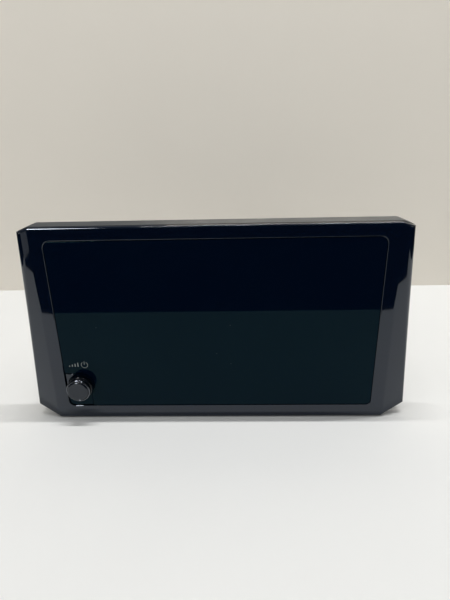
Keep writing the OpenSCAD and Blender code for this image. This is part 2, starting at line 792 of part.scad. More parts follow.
module antenna_pins() color("#c9a94f") placed() {
    for (x = ANTENNA_X) rod_y(x, antenna_z, 0.5, chassis_back - antenna_floor, chassis_back + 1);
}

module data_socket() color("#a4a8ab") placed() difference() {
    block([data_left, data_right], [chassis_back - data_depth, chassis_back + 1.5], [main_top, data_top]);
    block(
        [data_left + data_wall, data_right - data_wall], [chassis_back - data_floor, chassis_back + 3],
        [main_top + 3, main_top + 8]
    );
}

// A plate on the chassis side with an outward ear that is bolted to the dash
module bracket(side) {
    inner = side * chassis_half;
    difference() {
        union() {
            block(
                [min(inner, inner + side * bracket_t), max(inner, inner + side * bracket_t)],
                [bracket_y, bracket_y + bracket_len], [bracket_low, bracket_high]
            );
            block(
                [min(inner, side * bracket_ear), max(inner, side * bracket_ear)],
                [bracket_y, bracket_y + bracket_t], [bracket_low, bracket_high]
            );
        }
        for (s = [-1, 1]) rod_y(
            side * bracket_span_x / 2, bracket_mid + s * bracket_span_z / 2, bracket_hole_r,
            bracket_y - over, bracket_y + bracket_t + over
        );
        for (p = BRACKET_SCREWS) rod_x(p[0], p[1], 2.1, inner - 2 * bracket_t, inner + 2 * bracket_t);
        block(
            [inner - 2 * bracket_t, inner + 2 * bracket_t], [bracket_y + 24, bracket_y + 34],
            [bracket_low + 10, bracket_high - 10]
        );
    }
}

module left_bracket() color("#c4c2b4") placed() bracket(-1);

module right_bracket() color("#c4c2b4") placed() bracket(1);

module bracket_screws() color("#d0d3d6") placed() {
    side = chassis_half + bracket_t;
    for (p = BRACKET_SCREWS) for (s = [-1, 1]) {
        rod_x(p[0], p[1], 3.4, s > 0 ? side : -side - 2, s > 0 ? side + 2 : -side);
        rod_x(p[0], p[1], 1.6, s > 0 ? chassis_half - 4 : -side, s > 0 ? side : 4 - chassis_half);
    }
}

// A flat ribbon from the display board, through both windows, down to the main board
module display_cable() color("#c9c4b4") placed() along_x(-12, 12)
    polygon([
        [board_back, 62], [board_back, 60], [32, 60], [34, 58], [34, main_top], [34.4, main_top],
        [34.4, 58.2], [32.2, 60.4], [board_back + 0.4, 60.4], [board_back + 0.4, 62]
    ]);

front_bezel();
cover_glass();
glass_tape();
touch_sensor();
lcd_cell();
optical_films();
light_guide();
reflector_sheet();
led_bar();
backlight_tray();
mid_frame();
support_plate();
plate_screws();
knob_collar();
knob_cap();
knob_ring();
knob_face();
encoder_shaft();
encoder_rotor();
encoder_frame();
encoder_body();
switch_dome();
knob_board();
knob_board_screws();
display_board();
display_board_screws();
display_driver();
lcd_flex();
knob_flex();
rear_shell();
shell_screws();
standoffs();
chassis_screws();
chassis_tray();
chassis_cover();
cover_screws();
main_board();
board_screws();
system_chip();
chip_heat_sink();
tuner_shield();
capacitors();
amplifier_chip();
heat_sink();
sink_screws();
power_connector();
power_pins();
antenna_sockets();
antenna_pins();
data_socket();
left_bracket();
right_bracket();
bracket_screws();
display_cable();
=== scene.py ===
import json
import math

import bmesh
import bpy
from mathutils import Matrix, Vector
from mathutils.geometry import tessellate_polygon


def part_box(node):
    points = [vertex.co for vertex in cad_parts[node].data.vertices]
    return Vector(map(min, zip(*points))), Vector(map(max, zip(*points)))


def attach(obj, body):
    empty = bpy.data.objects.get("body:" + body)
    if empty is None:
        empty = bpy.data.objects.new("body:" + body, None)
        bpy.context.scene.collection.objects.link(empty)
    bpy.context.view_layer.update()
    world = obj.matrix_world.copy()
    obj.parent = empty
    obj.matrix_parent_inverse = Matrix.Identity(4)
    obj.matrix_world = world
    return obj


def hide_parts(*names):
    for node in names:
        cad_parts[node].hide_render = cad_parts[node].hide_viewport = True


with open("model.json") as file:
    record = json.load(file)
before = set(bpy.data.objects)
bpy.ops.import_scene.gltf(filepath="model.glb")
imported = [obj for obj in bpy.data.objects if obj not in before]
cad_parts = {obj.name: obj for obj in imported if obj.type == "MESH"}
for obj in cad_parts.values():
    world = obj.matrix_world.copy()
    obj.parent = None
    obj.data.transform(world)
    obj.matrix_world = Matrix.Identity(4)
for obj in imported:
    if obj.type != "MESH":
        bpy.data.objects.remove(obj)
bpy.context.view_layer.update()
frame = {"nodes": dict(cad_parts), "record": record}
SCENE = bpy.context.scene
SCENE.view_settings.view_transform = "Standard"

MM = 0.001
BEZEL_LOW, BEZEL_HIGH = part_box("front_bezel")
GLASS_LOW, GLASS_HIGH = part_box("cover_glass")
SHELL_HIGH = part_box("rear_shell")[1]
COLLAR_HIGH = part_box("knob_collar")[1]
RIM_LOW, RIM_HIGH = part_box("knob_ring")
CAP_LOW, CAP_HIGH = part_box("knob_cap")
DISC_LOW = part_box("knob_face")[0]

# Lengths are in millimetres, angles in degrees, and y counts backwards from the flat front, unless
# a comment says otherwise. FACE_Y is the flat front's own place in the frame.
FACE_Y = BEZEL_LOW.y / MM
POD_H = BEZEL_HIGH.z / MM
SOLE_Z = BEZEL_LOW.z / MM
KNOB_X = (RIM_LOW.x + RIM_HIGH.x) / 2 / MM
KNOB_Z = (RIM_LOW.z + RIM_HIGH.z) / 2 / MM
KNOB_R = (RIM_HIGH.x - RIM_LOW.x) / 2 / MM

# The pod's outline: the flat front ends at FLAT_X, and the slanted side facets reach out to the corners.
# The bezel's bottom edge stands a little higher than the shell, which carries the pod.
FLAT_X = 110.5
UPPER_CORNER_X = 119.8
UPPER_CORNER_Z = 130.9
LOWER_CORNER_X = BEZEL_HIGH.x / MM
LOWER_CORNER_Z = 8.0
BOTTOM_Z = SOLE_Z + 0.5
CORNERS = [
    (FLAT_X, POD_H), (UPPER_CORNER_X, UPPER_CORNER_Z), (LOWER_CORNER_X, LOWER_CORNER_Z), (FLAT_X, BOTTOM_Z)
]
# Depth gained per millimetre outwards: by the seam, and by a facet at its ridge and at its edge
SEAM_SLOPE = 0.333
RIDGE_SLOPE = 0.30
EDGE_SLOPE = 0.37
SEAM_Y = 3.4
SEAM_GAP = 1.5
SEAM_RIM = 2.0
BEZEL_ROUND = 0.4

# How far each edge of the outline rolls over, at the upper and at the lower corners.
# The edges are the top, the upper cut, the side, the lower cut and the bottom.
ROLLS = [(1.0, 1.0), (1.3, 1.3), (5.0, 1.0), (0.9, 0.9), (0.5, 0.5)]
TOP_EDGE, BOTTOM_EDGE = 0, 4
LARGEST_DROP = 3.1
ROLL_STEPS = 7
# The facet's grid. Its ridge is softened over a narrow column.
FACET_COLUMNS = 9
FACET_ROWS = 10
CUT_STEPS = 4
SOFT_RIDGE = 0.4

# The opening for the glass. Its lower right corner is tighter, and its lower edge is sharper.
OPEN_GAP = 0.3
OPEN_X = GLASS_HIGH.x / MM + OPEN_GAP
OPEN_LOW = GLASS_LOW.z / MM - OPEN_GAP
OPEN_TOP = GLASS_HIGH.z / MM + OPEN_GAP
OPEN_R = 4.5
TIGHT_R = 3.2
OPEN_DEPTH = 2.6
OPEN_ROLL = 0.8
OPEN_ROLL_LOW = 0.22
OPEN_STEPS = 3
GLASS_EDGE = 0.12

# The collar round the knob. Its arc and the notch in the glass end on the lower edge at NOTCH_ANGLE.
COLLAR_WIDTH = 0.4
COLLAR_INSET = 1
COLLAR_EDGE = 0.06
NOTCH_GAP = 0.25
NOTCH_ANGLE = 45
SHAFT_HOLE_R = 3.7
# The raised wedge left of the knob: places are counted from the knob's axis
WEDGE_PROUD = 0.5
WEDGE_EDGE = 0.5
WEDGE_ROOT = 0.1
WEDGE_GAP = 0.3
WEDGE_FOOT_X = 6.5
WEDGE_FOOT_Z = 8.0
WEDGE_TOP_X = 4.0
WEDGE_ARC = (218, 118)

# The knob's side: a base band, then a waist, hollow at the back
BAND_Y = -4.2
HOLLOW_Y = -4.4
HOLLOW_R = 6.8
WAIST = 0.7
# The knob's rim and face disc, counted inwards from its radius
RIM_INSET = 0.3
RIM_WIDTH = 1.0
DISC_INSET = 1.5
DISC_ROUND = 0.55

# The marks on the glass: a power sign with a gap at its top, and four rising bars
POWER_X = -88.5
POWER_Z = 41.7
POWER_R = 2.3
POWER_INNER_R = 1.97
POWER_GAP = 32
STEM_HALF = 0.19
STEM_LOW, STEM_TOP = 0.2, 2.6
BARS = 4
BAR_X = -98.9
BAR_Z = 40.4
BAR_PITCH = 1.9
BAR_WIDTH = 0.62
BAR_LOWEST = 0.9
BAR_RISE = 2.0
MARK_PROUD = 0.012
MARK_ROOT = 0.03

# The rear shell: half widths at its back, its top and its sole, and where its side wall begins to taper
SHELL_BACK_X = 116.0
SHELL_TOP_X = FLAT_X + 1.8
SHELL_SOLE_X = FLAT_X + 1
SHELL_LIP = 0.8
SHELL_ROUND = 0.8
SHELL_WALL = 2.6
WALL_ROUND = 0.25
SHELL_BLOCK = (300, 60, 200)
SHELL_BLOCK_CENTRE = (0, 8, 60)
# Its screw bores: two rows of three
SCREW_X = 98
SCREW_Z = (5.8, POD_H - 5.6)
BORE_R = 1.8
BORE_END_Y = 12.0
BORE_CHAMFER = 0.3

# How the CAD nodes are dressed: vertices this near are one, and faces this close to flat are joined
WELD_REACH = 0.002
FLAT_ANGLE = 0.5
CAD_ROUND = 0.15

# The stage, in metres. The table's outline gives x and the distance before the pod's face, the cloth's
# gives x and height: these are the parts that gloss reflects. The card is a glowing patch on the table.
FAR = 6.0
TABLE_COLOR = (0.80, 0.80, 0.785)
TABLE_OUTLINE = [
    (-0.56, 0.187), (0.24, 0.187), (0.30, 0.165), (0.40, 0.167),
    (0.45, 0.183), (0.56, 0.187), (0.56, -FAR), (-0.56, -FAR),
]
TABLE_LIFT = 0.0005
CARD_OUTLINE = [(-1.0, 0.5), (-0.71, 0.5), (-0.50, 0.19), (-1.0, 0.19)]
CARD_LIFT = 0.001
CARD_GLOW = 0.45
CLOTH_COLOR = (0.765, 0.72, 0.645)
CLOTH_Y = FACE_Y * MM + 0.264
CLOTH_TOP = 0.9
CLOTH_OUTLINE = [(-0.025, 0.0), (FAR, 0.0), (FAR, CLOTH_TOP), (-0.237, CLOTH_TOP)]
CLOTH_LIFT = 0.001
CLOTH_GLOW = 0.11
# From where to where the floor's own glow rises, and how strong it gets
FLOOR_GLOW_START, FLOOR_GLOW_FULL, FLOOR_GLOW = 0.9, 2.6, 0.8

# The soft lights, which gloss doesn't show: name, place, size, watts and colour
LIGHT_TARGET = (0, FACE_Y * MM, 0.05)
SOFT_LIGHTS = [
    ("key", (-0.75, -0.75, 1.25), (1.2, 1.2), 6.2, (1.0, 0.99, 0.97)),
    ("fill", (0.9, -0.5, 1.3), (1.4, 1.2), 4.4, (0.98, 0.99, 1.0)),
    ("back", (0.1, 1.3, 1.5), (2.0, 1.2), 8, (0.98, 0.99, 1.0)),
]
# The thin tube above the pod makes the sharp edge of its shadow
TUBE_X, TUBE_Z = 0.15, 1.5
TUBE_BEHIND = 0.053
TUBE_SIZE = (1.0, 0.02)
TUBE_POWER = 14
# The window: a bright triangle that only gloss reflects, with its tip to the right
WINDOW_X = (-0.63, -0.375)
WINDOW_BEFORE = 0.72
WINDOW_Z = 0.88
WINDOW_HALF = (0.2, 0.19)
WINDOW_GLOW = 45

# The camera: a 27 mm lens on a frame 36 mm high
CAMERA_PLACE = (15.03, -260.43, 188.97)
CAMERA_DOWN, CAMERA_TURN, CAMERA_TILT = 21.36, -1.95, -1.38
CAMERA_LENS = 27
CAMERA_FRAME = 36


# --- mesh helpers --------------------------------------------------------------------------

def at(x, y, z):
    """A point given in millimetres, with y counted from the flat front."""
    return Vector((x * MM, (FACE_Y + y) * MM, z * MM))


def depth(point):
    """How far a point of the frame lies behind the flat front, in millimetres."""
    return point.y / MM - FACE_Y


def add_object(name, bm, material):
    """Turns the built faces into a smooth-shaded object of one material."""
    mesh = bpy.data.meshes.new(name)
    bmesh.ops.recalc_face_normals(bm, faces=bm.faces[:])
    bm.to_mesh(mesh)
    bm.free()
    for face in mesh.polygons:
        face.use_smooth = True
    obj = bpy.data.objects.new(name, mesh)
    SCENE.collection.objects.link(obj)
    mesh.materials.append(material)
    return obj


def bevel(obj, width, segments, by_angle, clamp=False):
    """Rounds every edge that turns by more than an angle, given in degrees."""
    mod = obj.modifiers.new("Round", "BEVEL")
    mod.width = width * MM
    mod.segments = segments
    mod.use_clamp_overlap = clamp
    mod.limit_method = "ANGLE"
    mod.angle_limit = math.radians(by_angle)


def even_normals(obj):
    """Large flat faces keep their own normals, so that gloss stays straight on them."""
    mod = obj.modifiers.new("Normals", "WEIGHTED_NORMAL")
    mod.mode = "FACE_AREA"
    mod.weight = 80


def bake_modifiers(obj):
    """Replaces the object's mesh with what its modifiers make of it."""
    graph = bpy.context.evaluated_depsgraph_get()
    mesh = bpy.data.meshes.new_from_object(obj.evaluated_get(graph), depsgraph=graph)
    obj.modifiers.clear()
    obj.data = mesh


def corner_points(cx, cz, radius, start, end, steps):
    """Points of an arc between two angles, given in degrees."""
    angles = [math.radians(start + (end - start) * i / steps) for i in range(steps + 1)]
    return [(cx + radius * math.cos(a), cz + radius * math.sin(a)) for a in angles]


def round_rect(left, right, low, top, radii, steps=8):
    """Anticlockwise from the lower right corner, which is also the order of the radii."""
    points = corner_points(right - radii[0], low + radii[0], radii[0], -90, 0, steps)
    points += corner_points(right - radii[1], top - radii[1], radii[1], 0, 90, steps)
    points += corner_points(left + radii[2], top - radii[2], radii[2], 90, 180, steps)
    points += corner_points(left + radii[3], low + radii[3], radii[3], 180, 270, steps)
    return points


def inset(outline, distance):
    """The outline moved inwards. It runs anticlockwise and has no short edges beside sharp corners."""
    moved = []
    count = len(outline)
    for i, (x, z) in enumerate(outline):
        before = Vector(outline[i]) - Vector(outline[i - 1])
        after = Vector(outline[(i + 1) % count]) - Vector(outline[i])
        normal = Vector((-before.normalized().y - after.normalized().y,
                         before.normalized().x + after.normalized().x))
        normal.normalize()
        along = Vector((-after.normalized().y, after.normalized().x))
        share = max(0.3, normal.dot(along))
        moved.append((x + normal.x * distance / share, z + normal.y * distance / share))
    return moved


def fill(bm, loops):
    """Flat faces between an outer loop of vertices and any hole loops inside it."""
    flat = [v for loop in loops for v in loop]
    sheets = [[Vector((v.co.x, v.co.z, 0)) for v in loop] for loop in loops]
    for a, b, c in tessellate_polygon(sheets):
        bm.faces.new((flat[a], flat[b], flat[c]))


def bridge(bm, one, two):
    """Faces between two closed rings of vertices."""
    count = len(one)
    for i in range(count):
        j = (i + 1) % count
        bm.faces.new((one[i], one[j], two[j], two[i]))


def strip(bm, one, two):
    """Faces between two open rows of vertices: triangles where the rows share a vertex."""
    for corners in zip(one, one[1:], two[1:], two):
        bm.faces.new(list(dict.fromkeys(corners)))


def plate(name, outline, y_front, y_back, edge, material, holes=(), steps=3):
    """A flat plate seen from the front: its front edges are rounded, its back is closed."""
    bm = bmesh.new()
    front, back = [], []
    for points, sign in [(outline, 1)] + [(hole, -1) for hole in holes]:
        rings = []
        for i in range(steps + 1):
            a = math.pi / 2 * i / steps
            ring = inset(points, sign * edge * (1 - math.cos(a)))
            y = y_front + edge * (1 - math.sin(a))
            rings.append([bm.verts.new(at(x, y, z)) for x, z in ring])
        base = [bm.verts.new(at(x, y_back, z)) for x, z in points]
        bridge(bm, base, rings[0])
        for one, two in zip(rings, rings[1:]):
            bridge(bm, one, two)
        front.append(rings[-1])
        back.append(base)
    fill(bm, front)
    fill(bm, back)
    obj = add_object(name, bm, material)
    even_normals(obj)
    return obj


def turned(name, profile, x, z, material, steps=96):
    """A profile of (radius, y) turned about an axis along Y. A radius of 0 closes it."""
    bm = bmesh.new()
    rings = []
    for radius, y in profile:
        if radius < 1e-6:
            rings.append([bm.verts.new(at(x, y, z))])
            continue
        angles = [2 * math.pi * i / steps for i in range(steps)]
        rings.append([
            bm.verts.new(at(x + radius * math.cos(a), y, z + radius * math.sin(a))) for a in angles
        ])
    for one, two in zip(rings, rings[1:]):
        for i in range(steps):
            j = (i + 1) % steps
            corners = [one[i % len(one)], one[j % len(one)], two[j % len(two)], two[i % len(two)]]
            bm.faces.new(list(dict.fromkeys(corners)))
    return add_object(name, bm, material)


def soften(profile, radii, steps=4):
    """Rounds a profile's inner points. radii has one entry per point."""
    out = [profile[0]]
    for before, point, after, radius in zip(profile, profile[1:], profile[2:], radii[1:]):
        p = Vector(point)
        a, b = (Vector(before) - p), (Vector(after) - p)
        reach = min(radius, a.length * 0.45, b.length * 0.45)
        if reach < 1e-4:
            out.append(point)
            continue
        start, end = p + a.normalized() * reach, p + b.normalized() * reach
        for i in range(steps + 1):
            t = i / steps
            out.append(tuple(start * (1 - t) ** 2 + p * 2 * t * (1 - t) + end * t ** 2))
    out.append(profile[-1])
    return out


# --- materials -----------------------------------------------------------------------------

class Nodes:
    """A short way to add and join shader nodes."""

    def __init__(self, name):
        self.material = bpy.data.materials.new(name)
        self.material.use_nodes = True
        self.tree = self.material.node_tree
        self.shader = self.tree.nodes["Principled BSDF"]
        self.place = self.tree.nodes.new("ShaderNodeTexCoord").outputs["Object"]

    def feed(self, value, socket):
        """Links an output to the socket, or sets the socket's own value."""
        if hasattr(value, "links"):
            self.tree.links.new(value, socket)
        else:
            socket.default_value = value

    def add(self, kind, **inputs):
        node = self.tree.nodes.new(kind)
        for key, value in inputs.items():
            self.feed(value, node.inputs[key.replace("_", " ")])
        return node

    def stretched(self, scale):
        """The object's own coordinates, scaled by a vector."""
        return self.add("ShaderNodeMapping", Vector=self.place, Scale=scale).outputs["Vector"]

    def noise(self, scale, detail, vector=None, roughness=0.5):
        place = vector or self.place
        node = self.add("ShaderNodeTexNoise", Vector=place, Scale=scale, Detail=detail, Roughness=roughness)
        return node.outputs["Fac"]

    def ramp(self, value, low, high, from_low=0.0, from_high=1.0):
        node = self.add("ShaderNodeMapRange", Value=value)
        node.inputs["From Min"].default_value = from_low
        node.inputs["From Max"].default_value = from_high
        node.inputs["To Min"].default_value = low
        node.inputs["To Max"].default_value = high
        return node.outputs["Result"]

    def spread(self, value, low=0.0, high=1.0):
        """A noise value with its middle range stretched from low to high."""
        return self.ramp(value, low, high, 0.3, 0.7)

    def mix(self, share, one, two):
        node = self.tree.nodes.new("ShaderNodeMix")
        node.data_type = "RGBA"
        for name, kind, value in (("Factor", "VALUE", share), ("A", "RGBA", one), ("B", "RGBA", two)):
            self.feed(value, [s for s in node.inputs if s.name == name and s.type == kind][0])
        return [s for s in node.outputs if s.type == "RGBA"][0]

    def shades(self, share, color, dark, light):
        """From a darker to a lighter shade of a colour."""
        return self.mix(share, scaled(color, dark), scaled(color, light))

    def bump(self, height, distance):
        node = self.add("ShaderNodeBump", Height=height, Distance=distance * MM, Strength=1.0)
        return node.outputs["Normal"]

    def specks(self, scale, size, keep):
        """Small round dots, one in some of the cells of a fine pattern."""
        cells = self.add("ShaderNodeTexVoronoi", Vector=self.place, Scale=scale)
        dot = self.ramp(cells.outputs["Distance"], 1.0, 0.0, 0.0, size)
        split = self.add("ShaderNodeSeparateColor", Color=cells.outputs["Color"])
        chosen = self.ramp(split.outputs["Red"], 0.0, 1.0, 1.0 - keep, 1.0 - keep + 0.01)
        both = self.tree.nodes.new("ShaderNodeMath")
        both.operation = "MULTIPLY"
        self.feed(dot, both.inputs[0])
        self.feed(chosen, both.inputs[1])
        return both.outputs[0]

    def finish(self, color, roughness, metallic=0.0, normal=None, ior=1.5, tint=None):
        values = {"Base Color": color, "Roughness": roughness, "Metallic": metallic, "IOR": ior}
        values.update({"Normal": normal, "Specular Tint": tint})
        for name, value in values.items():
            if value is not None:
                self.feed(value, self.shader.inputs[name])
        return self.material


def rgb(r, g, b):
    return (r, g, b, 1.0)


def scaled(color, factor):
    return rgb(*[min(1.0, c * factor) for c in color[:3]])


GLOSS_TINT = rgb(0.84, 0.91, 1.0)


def gloss_black():
    """Piano black: a dark body, a clear gloss that waves a little, swirl marks and dust."""
    n = Nodes("gloss_black")
    wave = n.bump(n.noise(26, 1), 0.05)
    swirl = n.noise(900, 3, n.stretched((1, 1, 0.12)), 0.6)
    rough = n.ramp(swirl, 0.025, 0.09, 0.35, 0.8)
    dust = n.specks(420, 0.07, 0.05)
    color = n.mix(dust, rgb(0.0012, 0.0040, 0.0125), rgb(0.10, 0.10, 0.10))
    return n.finish(color, rough, normal=wave, ior=1.6, tint=GLOSS_TINT)


def screen_glass():
    """Coated glass over a dark panel: a weak, slightly green reflection and a blue-black body."""
    n = Nodes("screen_glass")
    cloud = n.spread(n.noise(14, 3))
    body = n.mix(cloud, rgb(0.0006, 0.0033, 0.0118), rgb(0.0009, 0.0046, 0.0132))
    dust = n.specks(220, 0.1, 0.025)
    color = n.mix(dust, body, rgb(0.10, 0.10, 0.11))
    rough = n.ramp(n.noise(60, 4), 0.015, 0.05, 0.4, 0.8)
    return n.finish(color, rough, ior=1.21, tint=rgb(0.45, 1.0, 0.95))


def moulded(name, color, rough=0.5, grain=0.02, scale=1400):
    """Moulded plastic: a fine even grain, and patches that are handled smoother."""
    n = Nodes(name)
    fine = n.noise(scale, 2)
    tone = n.shades(n.spread(n.noise(35, 3)), color, 0.88, 1.1)
    worn = n.spread(n.noise(55, 3), rough - 0.07, rough + 0.07)
    return n.finish(tone, worn, normal=n.bump(fine, grain), ior=1.47)


def sheet_metal(name, color, rough=0.32):
    """Zinc-coated sheet: large pale crystals, rolled streaks and fingerprints."""
    n = Nodes(name)
    crystals = n.add("ShaderNodeTexVoronoi", Vector=n.place, Scale=140)
    split = n.add("ShaderNodeSeparateColor", Color=crystals.outputs["Color"])
    tone = n.shades(n.ramp(split.outputs["Red"], 0.0, 1.0), color, 0.84, 1.08)
    streak = n.noise(500, 2, n.stretched((0.06, 1, 1)))
    worn = n.ramp(n.noise(40, 3), rough - 0.06, rough + 0.12, 0.35, 0.7)
    return n.finish(tone, worn, 1.0, n.bump(streak, 0.006))


def machined(name, color, rough=0.3, metallic=1.0):
    """Turned or extruded metal: close streaks and small differences of tone."""
    n = Nodes(name)
    streak = n.noise(1600, 2, n.stretched((1, 1, 0.08)))
    tone = n.shades(n.spread(n.noise(120, 2)), color, 0.9, 1.06)
    worn = n.spread(streak, rough - 0.08, rough + 0.1)
    return n.finish(tone, worn, metallic, n.bump(streak, 0.004))


def circuit_board(name, color):
    """Solder mask over copper: paler tracks, darker gaps, a slight orange peel."""
    n = Nodes(name)
    tracks = n.add("ShaderNodeTexBrick", Vector=n.place, Scale=160)
    for socket, factor in (("Color1", 1.0), ("Color2", 1.25), ("Mortar", 0.6)):
        tracks.inputs[socket].default_value = scaled(color, factor)
    worn = n.ramp(n.noise(80, 2), 0.25, 0.42)
    return n.finish(tracks.outputs["Color"], worn, 0.0, n.bump(n.noise(700, 2), 0.01))


def knob_gloss(name, color, rough, ior, metallic=0.0, tint=rgb(1, 1, 1)):
    """Gloss of the knob's pieces, with fine rings about its axis and a little handling wear."""
    n = Nodes(name)
    centre = n.add("ShaderNodeMapping", Vector=n.place, Location=(-KNOB_X * MM, 0, -KNOB_Z * MM))
    flat = n.add("ShaderNodeMapping", Vector=centre.outputs["Vector"], Scale=(1, 0, 1))
    length = n.tree.nodes.new("ShaderNodeVectorMath")
    length.operation = "LENGTH"
    n.feed(flat.outputs["Vector"], length.inputs[0])
    rings = n.tree.nodes.new("ShaderNodeTexNoise")
    rings.noise_dimensions = "1D"
    rings.inputs["Scale"].default_value = 4200
    n.feed(length.outputs["Value"], rings.inputs["W"])
    tone = n.shades(n.spread(rings.outputs["Fac"]), color, 0.85, 1.15)
    worn = n.spread(n.noise(500, 2), rough - 0.04, rough + 0.06)
    return n.finish(tone, worn, metallic, n.bump(rings.outputs["Fac"], 0.0015), ior, tint)


def print_white():
    """Pale screen print, a little uneven."""
    n = Nodes("print_white")
    tone = n.mix(n.spread(n.noise(2500, 2)), rgb(0.22, 0.24, 0.24), rgb(0.33, 0.35, 0.35))
    return n.finish(tone, n.ramp(n.noise(900, 2), 0.4, 0.6), normal=n.bump(n.noise(3000, 2), 0.003))


def slot_material(slot):
    """A procedural material for one of the record's slots."""
    name, kind, color = slot["slot"], slot["class"], slot["base_color"]
    if "board" in name:
        return circuit_board(name, color)
    if name in ("chassis_steel", "tray_steel", "plate_steel", "bracket_steel", "socket_metal"):
        return sheet_metal(name, color)
    if kind in ("brushed_steel", "aluminium", "brass"):
        return machined(name, color)
    if kind == "painted_metal":
        return machined(name, color, 0.38, 0.4)
    if kind in ("glass", "gloss_plastic"):
        return moulded(name, color, 0.2, 0.004, 500)
    return moulded(name, color)


def make_materials():
    """One material for each slot of the record. The pieces in sight have recipes of their own."""
    materials = {slot["slot"]: slot_material(slot) for slot in frame["record"]["materials"]}
    materials["gloss_black"] = gloss_black()
    materials["cover_glass"] = screen_glass()
    materials["shell_plastic"] = moulded("shell_plastic", rgb(0.085, 0.086, 0.085), 0.40, 0.02)
    materials["knob_face"] = knob_gloss("knob_face", rgb(0.002, 0.004, 0.009), 0.15, 1.55, tint=GLOSS_TINT)
    materials["knob_side"] = knob_gloss("knob_side", rgb(0.002, 0.003, 0.005), 0.14, 1.42)
    materials["knob_ring"] = knob_gloss("knob_ring", rgb(0.095, 0.102, 0.115), 0.14, 1.5, 1.0)
    return materials


# --- pieces --------------------------------------------------------------------------------

def crowned(x):
    """Depth of a side facet at a distance from the middle: a little steeper towards its edge."""
    out = max(0.0, abs(x) - FLAT_X)
    return RIDGE_SLOPE * out + (EDGE_SLOPE - RIDGE_SLOPE) / (2 * (LOWER_CORNER_X - FLAT_X)) * out * out


def seam(x):
    """Depth of the seam between bezel and shell at a distance from the middle."""
    return SEAM_Y + max(0.0, abs(x) - FLAT_X) * SEAM_SLOPE


def roll_at(edge, z):
    """How far an edge of the outline rolls over at a height."""
    high, low = ROLLS[edge]
    share = (z - LOWER_CORNER_Z) / (UPPER_CORNER_Z - LOWER_CORNER_Z)
    return low + (high - low) * min(1.0, max(0.0, share))


def half_outline():
    """The right half from the top down: x, z, and the numbers of the edges before and after the point."""
    points = []
    for i, count in enumerate([CUT_STEPS, FACET_ROWS, CUT_STEPS]):
        for k in range(count):
            t = k / count
            x = CORNERS[i][0] * (1 - t) + CORNERS[i + 1][0] * t
            z = CORNERS[i][1] * (1 - t) + CORNERS[i + 1][1] * t
            points.append((x, z, (i if k == 0 else i + 1), i + 1))
    points.append((*CORNERS[-1], BOTTOM_EDGE - 1, BOTTOM_EDGE))
    return points


def edge_normals():
    """Inward normals of the outline's edges on the right half, in the order of ROLLS."""
    corners = [(0, POD_H)] + CORNERS + [(0, BOTTOM_Z)]
    normals = []
    for one, two in zip(corners, corners[1:]):
        along = (Vector(two) - Vector(one)).normalized()
        normals.append(Vector((along.y, -along.x)))
    return normals


def rolled_ring(share):
    """The right half of the outline at a share of the roll: 0 on the side wall, 1 where the face begins."""
    angle = math.pi / 2 * share
    normals = edge_normals()
    ring = []
    for x, z, before, after in half_outline():
        a, b = normals[before], normals[after]
        rolls = [roll_at(i, z) for i in (before, after)]
        reach_a, reach_b = (roll * (1 - math.cos(angle)) for roll in rolls)
        if before == after:
            move = a * reach_a
        else:
            turn = a.x * b.y - a.y * b.x
            move = Vector((reach_a * b.y - reach_b * a.y, reach_b * a.x - reach_a * b.x)) / turn
        drop = min(LARGEST_DROP, sum(rolls) / 2) * (1 - math.sin(angle))
        px = FLAT_X if before == TOP_EDGE or after == BOTTOM_EDGE else x + move.x
        ring.append((px, crowned(px) + drop, z + move.y))
    return ring


def ridge_height(edge, i):
    """Height on the ridge of a row of the facet: even steps beside the cuts, the edge's own between them."""
    last = len(edge) - 1
    heights = [z for _, _, z in edge]
    if i < CUT_STEPS:
        return heights[0] + (heights[CUT_STEPS] - heights[0]) * i / CUT_STEPS
    if i > last - CUT_STEPS:
        lower = heights[last - CUT_STEPS]
        return lower + (heights[last] - lower) * (i - last + CUT_STEPS) / CUT_STEPS
    return heights[i]


def facet_column(bm, side, edge, ends, number):
    """One column of the facet's grid between its two end vertices. Number 0 lies on the ridge."""
    share = number / (FACET_COLUMNS + 1)
    inner = FLAT_X + (SOFT_RIDGE if number else 0)
    column = [ends[0]]
    for i in range(1, len(edge) - 1):
        x, _, z = edge[i]
        px = inner + (x - inner) * share
        level = ridge_height(edge, i)
        column.append(bm.verts.new(at(side * px, crowned(px), level + (z - level) * share)))
    column.append(ends[1])
    return column


def bezel_side(bm, side):
    """The wall, rolled edge and facet of one side. Returns its rows, seam first, and its ridge."""
    rings = [[(x, seam(x), z) for x, z, _, _ in half_outline()]]
    rings += [rolled_ring(i / ROLL_STEPS) for i in range(ROLL_STEPS + 1)]
    rows = [[bm.verts.new(at(side * x, y, z)) for x, y, z in ring] for ring in rings]
    ends = rows[-1][0], rows[-1][-1]
    columns = [rows[-1]]
    columns += [facet_column(bm, side, rings[-1], ends, i) for i in range(FACET_COLUMNS, -1, -1)]
    for lines in (rows, columns):
        for one, two in zip(lines, lines[1:]):
            strip(bm, one, two)
    return rows, columns[-1]


def opening_ring(opening, share):
    """The opening's outline and depth at a share of its roll. The roll grows from the lower edge upwards."""
    angle = math.pi / 2 * share
    grown = [inset(opening, -roll * (1 - math.cos(angle))) for roll in (OPEN_ROLL_LOW, OPEN_ROLL)]
    ring = []
    for (_, height), (x1, z1), (x2, z2) in zip(opening, *grown):
        up = min(1.0, (height - OPEN_LOW) / OPEN_R)
        roll = OPEN_ROLL_LOW * (1 - up) + OPEN_ROLL * up
        ring.append((x1 + (x2 - x1) * up, roll * (1 - math.sin(angle)), z1 + (z2 - z1) * up))
    return ring


